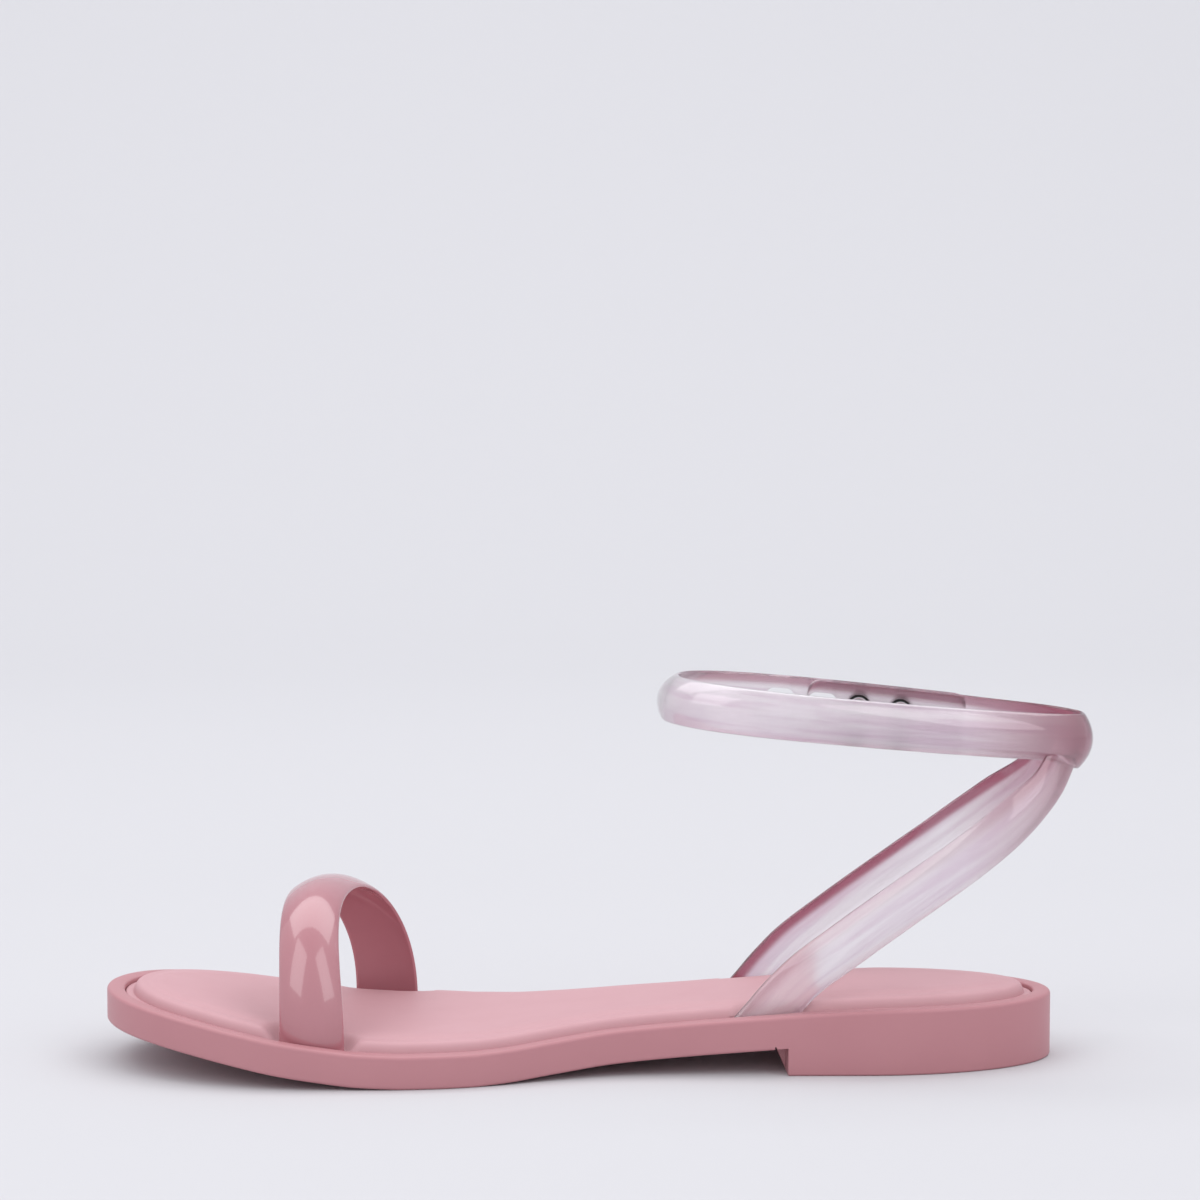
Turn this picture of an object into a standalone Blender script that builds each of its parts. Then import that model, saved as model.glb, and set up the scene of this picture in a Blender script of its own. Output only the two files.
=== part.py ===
# Jelly sandal for a right foot: moulded unit sole, padded insole, glossy toe strap and clear ankle strap.
# The toe points along -X, the inner side of the foot is -Y, and the floor is z = 0.
# The origin is on the floor, under the middle of the heel block. Lengths are in metres.
import math

import bmesh
import bpy
import numpy as np
from mathutils import Matrix, Vector

# Gap left between pieces that touch on the real sandal
GAP = 0.0003

# Sole
SOLE_LENGTH = 0.2484
BALL_WIDTH = 0.086
SOLE_THICKNESS = 0.0086
SOLE_EDGE = 0.0007
HEEL_LIFT = 0.0086
HEEL_BLOCK_LENGTH = 0.0716
BREAST_LEAN = 0.0024
TOE_SPRING = 0.0107
HEEL_ROUND = 0.0483
TOE_ROUND = 0.055

# Tray in the top of the sole, with the rim round it and a pocket for each strap leg
RIM_WIDTH = 0.0046
TRAY_DEPTH = 0.003
POCKET_DEPTH = 0.0028

# Insole
LIP_WIDTH = 0.0020
LIP_SINK = 0.0002
CROWN_HEIGHT = 0.0033
CROWN_RUN = 0.0085

# Toe strap
TOE_STRAP_WIDTH = 0.0152
TOE_STRAP_WALL = 0.0021
TOE_STRAP_EDGE = 0.0012
TOE_STRAP_DOME = 0.0031
TOE_FOOT_WIDTH = 0.0168
TOE_STRAP_RISE = 0.0380
TOE_LEG_AT = 0.1583
TOE_STRAP_SKEW = 0.0192
TOE_STRAP_BOW = 0.0070
TOE_ARCH_POWER = 2.16
TOE_ARCH_STEPS = 26

# Ankle strap
ANKLE_BAND_WIDTH = 0.0122
ANKLE_BAND_WALL = 0.0020
ANKLE_BAND_EDGE = 0.0009
ANKLE_BAND_DOME = 0.0030
LOOP_BACK = 0.0435
LOOP_LENGTH = 0.1085
LOOP_HALF_WIDTH = 0.0190
LOOP_EGG = 0.0045
LOOP_HEIGHT = 0.0888
LOOP_SLOPE = 0.100
LOOP_LEAN = 0.25
LOOP_POWER = 2.3
TAIL_END = 0.0275
OVERLAP_LENGTH = 0.0425
END_CORNER = 0.0035
END_NARROWING = 0.8
STEP_CLEAR = 0.004
STEP_RUN = 0.022
LOOP_STEPS = 80
LOOP_SAMPLES = 720
LOOP_BACK_DROP = 0.0026
ANKLE_LEG_WIDTH = 0.0124
ANKLE_FOOT_DOME = 0.0012
ANKLE_LEG_AT = 0.0400
LEVEL_RUN = 0.026
JUNCTION_RUN = 0.0095
JUNCTION_DROP = 0.0042
JUNCTION_WIDTH = 0.0100
JUNCTION_DOME = 0.0015
LEG_STEPS = 26
PLUG_STEPS = 8

# Closure: studs through both layers, and spare slots further along the front strap
STUD_PITCH = 0.0112
STUD_FIRST = 0.0135
NECK_RADIUS = 0.0014
HEAD_RADIUS = 0.0031
HEAD_HEIGHT = 0.0011
SLOT_LENGTH = 0.0078
SLOT_WIDTH = 0.0048
SPARE_SLOTS = 2
SLOT_SHIFT = 0.0014
SLOT_ROUND = 0.48
SLOT_SEGMENTS = 5
ROUND_PROFILE = 0.5

# Outline of the sole, with the middle's shift and half the width as shares of BALL_WIDTH
OUTLINE_COLUMNS = ("along", "middle", "half")
OUTLINE = (
    (0.000, 0.000, 0.328),
    (0.190, 0.000, 0.328),
    (0.290, 0.000, 0.322),
    (0.375, 0.006, 0.320),
    (0.462, 0.018, 0.335),
    (0.530, 0.020, 0.382),
    (0.593, 0.021, 0.447),
    (0.655, 0.023, 0.489),
    (0.720, 0.026, 0.501),
    (0.800, 0.029, 0.498),
    (0.900, 0.036, 0.492),
    (1.000, 0.046, 0.515),
)

# Height of the sole's own underside, as shares of HEEL_LIFT behind the ball and of TOE_SPRING ahead of it
HEEL_RISE_COLUMNS = ("along", "share")
HEEL_RISE = (
    (0.000, 1.000),
    (0.170, 0.990),
    (0.230, 0.925),
    (0.315, 0.760),
    (0.403, 0.560),
    (0.467, 0.395),
    (0.530, 0.190),
    (0.572, 0.065),
    (0.610, 0.000),
)
TOE_RISE_COLUMNS = ("along", "share")
TOE_RISE = (
    (0.690, 0.000),
    (0.735, 0.060),
    (0.776, 0.183),
    (0.820, 0.337),
    (0.863, 0.520),
    (0.909, 0.710),
    (0.955, 0.875),
    (1.000, 1.000),
)

# Swell of the insole inwards from its lip, as shares of CROWN_RUN and CROWN_HEIGHT
CROWN_COLUMNS = ("run", "rise")
CROWN = (
    (0.00, 0.00),
    (0.04, 0.30),
    (0.12, 0.56),
    (0.30, 0.80),
    (0.60, 0.95),
    (1.00, 1.00),
)

# Middle line of an ankle leg, from the rim to the loop, as shares of its run, its rise and its way inwards
LEG_COLUMNS = ("run", "rise", "inward")
LEG = (
    (0.000, 0.000, 0.000),
    (0.064, 0.086, -0.010),
    (0.128, 0.160, -0.025),
    (0.256, 0.275, -0.040),
    (0.385, 0.386, -0.040),
    (0.513, 0.493, -0.035),
    (0.641, 0.600, -0.015),
    (0.700, 0.652, 0.015),
    (0.769, 0.714, 0.110),
    (0.820, 0.763, 0.230),
    (0.872, 0.816, 0.390),
    (0.936, 0.893, 0.630),
    (1.000, 1.000, 1.000),
)

# Half the profile of a stud's head and of its button, as shares of HEAD_RADIUS and of HEAD_HEIGHT
HEAD_COLUMNS = ("radius", "below_top")
HEAD = (
    (0.00, 0.00),
    (0.55, 0.12),
    (0.88, 0.45),
)
BUTTON_COLUMNS = ("radius", "above_bottom")
BUTTON = (
    (0.93, 0.30),
    (0.72, 0.00),
    (0.50, 0.20),
    (0.40, 0.60),
    (0.00, 0.60),
)

# Finishes, with linear colours
MATERIAL_COLUMNS = ("name", "colour", "roughness", "metallic", "transmission")
MATERIALS = (
    ("rose plastic", (0.48, 0.22, 0.25), 0.45, 0.0, 0.0),
    ("rose insole", (0.60, 0.34, 0.37), 0.60, 0.0, 0.0),
    ("rose gloss", (0.48, 0.20, 0.24), 0.12, 0.0, 0.0),
    ("clear lilac jelly", (0.80, 0.62, 0.70), 0.22, 0.0, 0.8),
    ("steel", (0.62, 0.60, 0.60), 0.20, 1.0, 0.0),
)

# Smoothness of the surfaces
STATIONS = 48
END_CROWDING = 0.55
END_STEPS = (0.0005, 0.0025)
STATION_CLEARANCE = 1 / 3
BAND_STEPS = 8
FOOT_STEPS = 2
TURNED_STEPS = 24
SHARP_ANGLE = 38
SLOPE_STEP = 0.0008
TOP_EDGE_SHARE = 0.3
HINT_POWER = 3
CUT_REACH = 0.034


def column(rows, columns, name):
    """One column of a table."""
    return [row[columns.index(name)] for row in rows]


def eased(xs, ys, at):
    """A smooth curve through the points (xs, ys), which never swings past them, read at one place."""
    xs, ys = np.asarray(xs, float), np.asarray(ys, float)
    at = min(max(at, xs[0]), xs[-1])
    steps = np.diff(xs)
    secants = np.diff(ys) / steps
    slopes = np.zeros(len(xs))
    same_way = secants[:-1] * secants[1:] > 0
    before, after = secants[:-1][same_way], secants[1:][same_way]
    slopes[1:-1][same_way] = 2 * before * after / (before + after)
    slopes[0], slopes[-1] = secants[0], secants[-1]
    i = min(int(np.searchsorted(xs, at, side="right")) - 1, len(steps) - 1)
    t = (at - xs[i]) / steps[i]
    start = (1 + 2 * t) * (1 - t) ** 2 * ys[i] + t * (1 - t) ** 2 * steps[i] * slopes[i]
    end = t * t * (3 - 2 * t) * ys[i + 1] + t * t * (t - 1) * steps[i] * slopes[i + 1]
    return float(start + end)


def read(rows, columns, across, name, at):
    """A table's column, eased along another column."""
    return eased(column(rows, columns, across), column(rows, columns, name), at)


# Shape of the sole


def x_at(along):
    return HEEL_BLOCK_LENGTH / 2 - along * SOLE_LENGTH


def along_at(x):
    return (HEEL_BLOCK_LENGTH / 2 - x) / SOLE_LENGTH


def end_share(distance, round_length):
    """Share of the full half width that is left at this distance from a round end."""
    if distance >= round_length:
        return 1.0
    return math.sqrt(max(0.0, 1 - (1 - distance / round_length) ** 2))


def outline_y(x, side):
    """The sole's edge at x: side -1 is the inner edge, and 1 the outer edge."""
    along = along_at(x)
    from_heel, from_toe = along * SOLE_LENGTH, (1 - along) * SOLE_LENGTH
    share = end_share(from_heel, HEEL_ROUND) * end_share(from_toe, TOE_ROUND)
    middle = read(OUTLINE, OUTLINE_COLUMNS, "along", "middle", along)
    half = read(OUTLINE, OUTLINE_COLUMNS, "along", "half", along)
    return BALL_WIDTH * (middle + side * half * share)


def base_height(x):
    """Height of the sole's underside at x, as if it had no heel block."""
    along = along_at(x)
    heel = HEEL_LIFT * read(HEEL_RISE, HEEL_RISE_COLUMNS, "along", "share", along)
    toe = TOE_SPRING * read(TOE_RISE, TOE_RISE_COLUMNS, "along", "share", along)
    return heel + toe


def rim_height(x):
    return base_height(x) + SOLE_THICKNESS


def breast_x():
    return -HEEL_BLOCK_LENGTH / 2


def station_xs():
    """Places along the sole, from the heel's back to the toe's tip, closer at both ends and at the breast."""
    top = breast_x() - BREAST_LEAN
    corners = [breast_x() + SOLE_EDGE, breast_x(), top, top - SOLE_EDGE]
    xs = []
    for i in range(STATIONS + 1):
        turn = (1 - math.cos(math.pi * i / STATIONS)) / 2
        xs.append(x_at(END_CROWDING * turn + (1 - END_CROWDING) * i / STATIONS))
    for step in END_STEPS:
        xs += [x_at(step), x_at(1 - step)]
    clear = SOLE_LENGTH / STATIONS * STATION_CLEARANCE
    xs = [x for x in xs if not corners[-1] - clear < x < corners[0] + clear]
    return sorted(xs + corners, reverse=True)


def underside_height(x):
    """Height of the underside at a station: the heel block stands on the floor, and its breast leans."""
    if x > breast_x() + SOLE_EDGE / 2:
        return 0.0
    if x > breast_x() - SOLE_EDGE / 2:
        return SOLE_EDGE
    if x > breast_x() - BREAST_LEAN - SOLE_EDGE / 2:
        return base_height(x) - SOLE_EDGE
    return base_height(x)


def outline_ring(inset):
    """The outline, moved inwards: from the heel along the inner side to the toe, and back along the outer."""
    xs = station_xs()
    edge = [Vector((x, outline_y(x, -1), 0)) for x in xs]
    edge += [Vector((x, outline_y(x, 1), 0)) for x in reversed(xs[1:-1])]
    count = len(edge)
    ring = []
    for i, point in enumerate(edge):
        along = (edge[(i + 1) % count] - edge[i - 1]).normalized()
        ring.append(point + inset * Vector((along.y, -along.x, 0)) * turn_in(edge))
    return ring


def turn_in(edge):
    """1 or -1, whichever turns the ring's side normals inwards."""
    area = sum(a.x * b.y - b.x * a.y for a, b in zip(edge, edge[1:] + edge[:1]))
    return -1 if area > 0 else 1


def rim_normal(x, side):
    """The outline's outward normal at x, in plan."""
    rise = outline_y(x + SLOPE_STEP, side) - outline_y(x - SLOPE_STEP, side)
    slope = rise / (2 * SLOPE_STEP)
    return Vector((-slope * side, side, 0)).normalized()


# Meshes


def mesh_object(name, vertices, faces, collection, material=None):
    mesh = bpy.data.meshes.new(name)
    mesh.from_pydata([tuple(v) for v in vertices], [], faces)
    mesh.validate()
    body = bmesh.new()
    body.from_mesh(mesh)
    bmesh.ops.recalc_face_normals(body, faces=body.faces)
    body.to_mesh(mesh)
    body.free()
    mesh.shade_smooth()
    mesh.set_sharp_from_angle(angle=math.radians(SHARP_ANGLE))
    if material:
        mesh.materials.append(material)
    item = bpy.data.objects.new(name, mesh)
    collection.objects.link(item)
    return item


def skin(rings):
    """Vertices, and the quads between rings of equal length."""
    count = len(rings[0])
    vertices = [point for ring in rings for point in ring]
    faces = []
    for r in range(len(rings) - 1):
        for i in range(count):
            j = (i + 1) % count
            faces.append((r * count + i, r * count + j, (r + 1) * count + j, (r + 1) * count + i))
    return vertices, faces


def strips(start, count):
    """Faces across a sole's ring, between the inner and the outer point of each station."""
    half = count // 2
    faces = [(start, start + 1, start + count - 1)]
    for i in range(1, half - 1):
        faces.append((start + i, start + i + 1, start + count - i - 1, start + count - i))
    faces.append((start + half - 1, start + half, start + half + 1))
    return faces


def sole_loft(name, levels, collection, material):
    """A solid from rings of the outline. Each level is an inset, and a height at an x and a station."""
    xs = station_xs()
    stations = xs + list(reversed(xs[1:-1]))
    rings = []
    for inset, height in levels:
        ring = outline_ring(inset)
        rings.append([Vector((p.x, p.y, height(p.x, station))) for p, station in zip(ring, stations)])
    vertices, faces = skin(rings)
    count = len(stations)
    faces += strips(0, count) + strips(count * (len(rings) - 1), count)
    return mesh_object(name, vertices, faces, collection, material)


def band_section(width, wall, edge, dome):
    """A domed strap's section, hollow inside: (across, outward) points, over the outer face and back."""
    def bulge(share):
        return 1 - share * share

    shares = [-1 + 2 * i / BAND_STEPS for i in range(BAND_STEPS + 1)]
    outer = [(s * width / 2, dome * bulge(s)) for s in shares]
    inner = [(s * width / 2, (dome - wall + edge) * bulge(s) - edge) for s in reversed(shares)]
    return outer + inner


def plug_section(width, edge, dome, gap):
    """The same strap's envelope with a gap round it, filled inside."""
    half = width / 2 + gap
    shares = [-1 + 2 * i / BAND_STEPS for i in range(BAND_STEPS + 1)]
    outer = [(s * half, gap + dome * (1 - s * s)) for s in shares]
    return outer + [(half, -edge - gap), (-half, -edge - gap)]


def band_frames(points, hints):
    """Tangent, outward normal and width direction at each point of a path."""
    frames = []
    for i, (point, hint) in enumerate(zip(points, hints)):
        ahead, behind = points[min(i + 1, len(points) - 1)], points[max(i - 1, 0)]
        tangent = (ahead - behind).normalized()
        normal = (hint - hint.dot(tangent) * tangent).normalized()
        frames.append((point, tangent, normal, tangent.cross(normal)))
    return frames


def levelled(frames, shares):
    """The frames with their width directions sheared along the strap towards level, by these shares."""
    return [
        (point, tangent, normal, across - share * across.z / tangent.z * tangent if share else across)
        for (point, tangent, normal, across), share in zip(frames, shares)
    ]


def faded(distance, length):
    """1 at no distance, easing to 0 at this length."""
    share = min(max(distance / length, 0.0), 1.0)
    return 1 - share * share * (3 - 2 * share)


def band_solid(name, frames, sections, collection, material=None):
    """A strap lofted from one section at each frame."""
    rings = []
    for (point, _, normal, across), section in zip(frames, sections):
        rings.append([point + u * across + v * normal for u, v in section])
    vertices, faces = skin(rings)
    count = len(rings[0])
    faces.append(tuple(range(count)))
    faces.append(tuple(range(len(vertices) - count, len(vertices))))
    return mesh_object(name, vertices, faces, collection, material)


def boolean(item, other, operation):
    modifier = item.modifiers.new(f"{operation.lower()} {other.name}", "BOOLEAN")
    modifier.operation = operation
    modifier.solver = "EXACT"
    modifier.object = other


def helper(item):
    item.hide_render = True
    item.display_type = "WIRE"
    return item


def make_material(name, colour, roughness, metallic, transmission):
    material = bpy.data.materials.new(name)
    material.use_nodes = True
    shader = material.node_tree.nodes["Principled BSDF"]
    shader.inputs["Base Color"].default_value = (*colour, 1.0)
    shader.inputs["Roughness"].default_value = roughness
    shader.inputs["Metallic"].default_value = metallic
    shader.inputs["Transmission Weight"].default_value = transmission
    return material


# Sole and insole


def outsole(collection, material):
    levels = [
        (SOLE_EDGE / 2, lambda x, s: underside_height(s)),
        (0.0, lambda x, s: underside_height(s) + SOLE_EDGE / 2),
        (0.0, lambda x, s: rim_height(x) - SOLE_EDGE),
        (TOP_EDGE_SHARE * SOLE_EDGE, lambda x, s: rim_height(x) - TOP_EDGE_SHARE * SOLE_EDGE),
        (SOLE_EDGE, lambda x, s: rim_height(x)),
        (RIM_WIDTH, lambda x, s: rim_height(x)),
        (RIM_WIDTH, lambda x, s: rim_height(x) - TRAY_DEPTH),
    ]
    return sole_loft("outsole", levels, collection, material)


def insole(collection, material):
    edge = RIM_WIDTH + GAP
    inner = edge + LIP_WIDTH
    levels = [
        (edge, lambda x, s: rim_height(x) - TRAY_DEPTH + GAP),
        (edge, lambda x, s: rim_height(x) - LIP_SINK),
    ]
    for run, rise in CROWN:
        lift = rise * CROWN_HEIGHT - LIP_SINK
        levels.append((inner + run * CROWN_RUN, lambda x, s, lift=lift: rim_height(x) + lift))
    return sole_loft("insole", levels, collection, material)


# Toe strap


def leg_foot(x, side, dome):
    """Where a strap leg's middle line crosses the rim's level: its outer face clears the rim's inner wall."""
    normal = rim_normal(x, side)
    edge = Vector((x, outline_y(x, side), rim_height(x)))
    return edge - normal * (RIM_WIDTH + 2 * GAP + dome), normal


def foot_depth():
    """How far a leg goes down past the rim."""
    return TRAY_DEPTH + POCKET_DEPTH - GAP


def toe_strap_path():
    """Points over the toes from the inner pocket to the outer one, with a hint of the way out at each."""
    near, near_normal = leg_foot(-TOE_LEG_AT, -1, TOE_STRAP_DOME)
    far, far_normal = leg_foot(-TOE_LEG_AT + TOE_STRAP_SKEW, 1, TOE_STRAP_DOME)
    middle = (near + far) / 2
    crest = middle.z + TOE_STRAP_RISE - TOE_STRAP_DOME
    down = Vector((0, 0, -foot_depth()))
    points, hints = [near + down, near + down / 2], [near_normal, near_normal]
    for i in range(TOE_ARCH_STEPS + 1):
        angle = math.pi * (1 - i / TOE_ARCH_STEPS)
        across = math.copysign(abs(math.cos(angle)) ** (2 / TOE_ARCH_POWER), math.cos(angle))
        height = math.sin(angle) ** (2 / TOE_ARCH_POWER) if 0 < i < TOE_ARCH_STEPS else 0.0
        foot, normal = (near, near_normal) if across < 0 else (far, far_normal)
        plan = middle.lerp(foot, abs(across))
        bow = TOE_STRAP_BOW * (1 - across * across)
        points.append(Vector((plan.x - bow, plan.y, foot.z + (crest - foot.z) * height)))
        hints.append(normal * abs(across) + Vector((0, 0, height)))
    points += [far + down / 2, far + down]
    hints += [far_normal, far_normal]
    return points, hints


def toe_strap(collection, material):
    points, hints = toe_strap_path()
    frames = band_frames(points, hints)
    sections = []
    for point in points:
        share = faded(point.z - min(points[0].z, points[-1].z), TOE_STRAP_RISE)
        width = TOE_STRAP_WIDTH + (TOE_FOOT_WIDTH - TOE_STRAP_WIDTH) * share
        sections.append(band_section(width, TOE_STRAP_WALL, TOE_STRAP_EDGE, TOE_STRAP_DOME))
    return band_solid("toe_strap", frames, sections, collection, material)


def leg_plug(name, frames, width, edge, dome, collection):
    """The space that a leg needs in the sole and in the insole, a little deeper than the leg."""
    point, tangent = frames[0][:2]
    deeper = point - tangent * GAP / abs(tangent.z)
    section = plug_section(width, edge, dome, GAP)
    frames = [(deeper,) + frames[0][1:]] + frames[1:]
    return helper(band_solid(name, frames, [section] * len(frames), collection))


# Ankle strap


def loop_point(angle):
    """The loop's middle line. The angle is 0 at the back of the heel and grows towards the outer side."""
    c, s = math.cos(angle), math.sin(angle)
    along = math.copysign(abs(c) ** (2 / LOOP_POWER), c)
    across = math.copysign(abs(s) ** (2 / LOOP_POWER), s)
    x = LOOP_BACK - LOOP_LENGTH / 2 * (1 - along)
    half = LOOP_HALF_WIDTH - LOOP_EGG * along
    return Vector((x, across * half, LOOP_HEIGHT - LOOP_SLOPE * x))


def loop_lengths():
    """Angles round the loop and the length run at each, to turn a length along it into an angle."""
    angles = [2 * math.pi * i / LOOP_SAMPLES for i in range(LOOP_SAMPLES + 1)]
    points = [loop_point(a) for a in angles]
    run = [0.0]
    for a, b in zip(points, points[1:]):
        run.append(run[-1] + (b - a).length)
    return angles, run


def loop_angle(length, table):
    """The angle at a length round the loop, also past a full turn either way."""
    angles, run = table
    turns = math.floor(length / run[-1])
    return turns * 2 * math.pi + float(np.interp(length - turns * run[-1], run, angles))


def length_at_x(x, table):
    """Length from the back, round the outer side, to where the loop passes x."""
    angles, run = table
    half = len(angles) // 2
    xs = [loop_point(a).x for a in angles[: half + 1]]
    return float(np.interp(-x, [-v for v in xs], run[: half + 1]))


def loop_frame(length, table, inward):
    """Point, tangent, outward normal and width direction of the band at a length round the loop."""
    places = (length, length + SLOPE_STEP, length - SLOPE_STEP)
    here, ahead, behind = (loop_point(loop_angle(place, table)) for place in places)
    tangent = (ahead - behind).normalized()
    up = Vector((LOOP_SLOPE, 0, 1)).normalized()
    outward = tangent.cross(up).normalized()
    lean = LOOP_LEAN * max(0.0, -outward.x)
    normal = (outward + up * lean).normalized()
    return here - outward * inward, tangent, normal, tangent.cross(normal)


def layer_pitch():
    """From one layer of the overlap to the next."""
    return ANKLE_BAND_WALL + GAP


def ankle_loop(collection, material):
    """The band from the tail's end, round the heel and the inner side, to its other end on the tail."""
    table = loop_lengths()
    turn = table[1][-1]
    tail_end = length_at_x(-TAIL_END, table)
    front_end = tail_end - OVERLAP_LENGTH - turn
    frames, sections = [], []
    for i in range(LOOP_STEPS + 1):
        length = tail_end + (front_end - tail_end) * i / LOOP_STEPS
        inward = layer_pitch() * faded(tail_end - length - OVERLAP_LENGTH - STEP_CLEAR, STEP_RUN)
        frames.append(loop_frame(length, table, inward))
        to_end = min(tail_end - length, length - front_end)
        corner = min(max(to_end / END_CORNER, 0.0), 1.0)
        width = ANKLE_BAND_WIDTH - 2 * END_CORNER * END_NARROWING * (1 - math.sqrt(1 - (1 - corner) ** 2))
        full = band_section(ANKLE_BAND_WIDTH, ANKLE_BAND_WALL, ANKLE_BAND_EDGE, ANKLE_BAND_DOME)
        squeeze = width / ANKLE_BAND_WIDTH
        drop = LOOP_BACK_DROP * faded(abs(length), LOOP_HALF_WIDTH) / ANKLE_BAND_WIDTH
        sections.append([(u * squeeze + drop * max(0.0, u + ANKLE_BAND_WIDTH / 2), v) for u, v in full])
    return band_solid("ankle_strap", frames, sections, collection, material)


def leg_frames(side):
    """Frames of an ankle leg from its pocket to the loop. Its feet and its head lie level."""
    foot, normal = leg_foot(-ANKLE_LEG_AT, side, ANKLE_FOOT_DOME)
    table = loop_lengths()
    head, _, head_normal, down = loop_frame(side * JUNCTION_RUN, table, 0.0)
    head += down * JUNCTION_DROP
    runs, rises, inwards = (column(LEG, LEG_COLUMNS, name) for name in LEG_COLUMNS)
    spots = []
    for i in range(LEG_STEPS + 1):
        at = i / LEG_STEPS
        rise, inward = eased(runs, rises, at), eased(runs, inwards, at)
        spots.append(Vector((
            foot.x + (head.x - foot.x) * at,
            foot.y + (head.y - foot.y) * inward,
            foot.z + (head.z - foot.z) * rise,
        )))
    slant = spots[1] - spots[0]
    slant.y = 0
    slant *= foot_depth() / slant.z
    points = [foot - slant * (1 - i / FOOT_STEPS) for i in range(FOOT_STEPS)] + spots
    hints = [normal] * FOOT_STEPS
    hints += [normal.lerp(head_normal, (i / LEG_STEPS) ** HINT_POWER) for i in range(LEG_STEPS + 1)]
    frames = band_frames(points, hints)
    shares = []
    for point in points:
        shares.append(max(faded((point - foot).length if point.z > foot.z else 0.0, LEVEL_RUN),
                          faded((point - head).length, LEVEL_RUN)))
    return levelled(frames, shares)


def ankle_leg(side, collection):
    frames = leg_frames(side)
    foot, head = frames[FOOT_STEPS][0], frames[-1][0]
    sections = []
    for point, *_ in frames:
        share = faded((point - head).length, LEVEL_RUN)
        foot_share = faded((point - foot).length if point.z > foot.z else 0.0, LEVEL_RUN)
        width = ANKLE_LEG_WIDTH + (JUNCTION_WIDTH - ANKLE_LEG_WIDTH) * share
        dome = ANKLE_BAND_DOME + (JUNCTION_DOME - ANKLE_BAND_DOME) * share
        dome += (ANKLE_FOOT_DOME - ANKLE_BAND_DOME) * foot_share
        sections.append(band_section(width, ANKLE_BAND_WALL, ANKLE_BAND_EDGE, dome))
    name = "inner ankle leg" if side < 0 else "outer ankle leg"
    return helper(band_solid(name, frames, sections, collection))


# Closure


def stud_lengths(table):
    """Lengths round the loop of the two studs."""
    first = length_at_x(-STUD_FIRST, table)
    return [first, first - STUD_PITCH]


def closure_stud(name, length, table, collection, material):
    """A turned stud: a dished button inside the ankle, a neck through both layers, a domed head outside."""
    point, tangent, normal, across = loop_frame(length, table, 0.0)
    head_drop = ANKLE_BAND_DOME * (2 * HEAD_RADIUS / ANKLE_BAND_WIDTH) ** 2
    under_head = ANKLE_BAND_DOME + GAP
    over_button = ANKLE_BAND_DOME - ANKLE_BAND_WALL - layer_pitch() - GAP - head_drop
    top, bottom = under_head + HEAD_HEIGHT, over_button - HEAD_HEIGHT
    profile = [(HEAD_RADIUS * radius, top - HEAD_HEIGHT * below) for radius, below in HEAD]
    profile += [(HEAD_RADIUS, under_head), (NECK_RADIUS, under_head)]
    profile += [(NECK_RADIUS, over_button), (HEAD_RADIUS, over_button)]
    profile += [(HEAD_RADIUS * radius, bottom + HEAD_HEIGHT * above) for radius, above in BUTTON]
    mesh = bpy.data.meshes.new(name)
    mesh.from_pydata([(r, 0.0, z) for r, z in profile], [(i, i + 1) for i in range(len(profile) - 1)], [])
    mesh.materials.append(material)
    stud = bpy.data.objects.new(name, mesh)
    collection.objects.link(stud)
    turned = stud.modifiers.new("turned", "SCREW")
    turned.steps = turned.render_steps = TURNED_STEPS
    turned.use_merge_vertices = True
    turned.merge_threshold = 0.00001
    turned.use_smooth_shade = True
    frame = Matrix((tangent, across, normal)).transposed()
    stud.matrix_world = Matrix.Translation(point) @ frame.to_4x4()
    return stud


def placed_cutter(name, length, table, size, collection):
    """A round-cornered block through the band, its sides given along the band, across it and through it."""
    point, tangent, normal, across = loop_frame(length, table, 0.0)
    body = bmesh.new()
    bmesh.ops.create_cube(body, size=1.0)
    bmesh.ops.scale(body, vec=size, verts=body.verts)
    uprights = [e for e in body.edges if abs(e.verts[0].co.z - e.verts[1].co.z) > size[2] / 2]
    bmesh.ops.bevel(body, geom=uprights, offset=size[1] * SLOT_ROUND, segments=SLOT_SEGMENTS,
                     profile=ROUND_PROFILE, affect="EDGES")
    mesh = bpy.data.meshes.new(name)
    body.to_mesh(mesh)
    body.free()
    cutter = bpy.data.objects.new(name, mesh)
    collection.objects.link(cutter)
    frame = Matrix((tangent, across, normal)).transposed()
    cutter.matrix_world = Matrix.Translation(point) @ frame.to_4x4()
    return helper(cutter)


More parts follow.
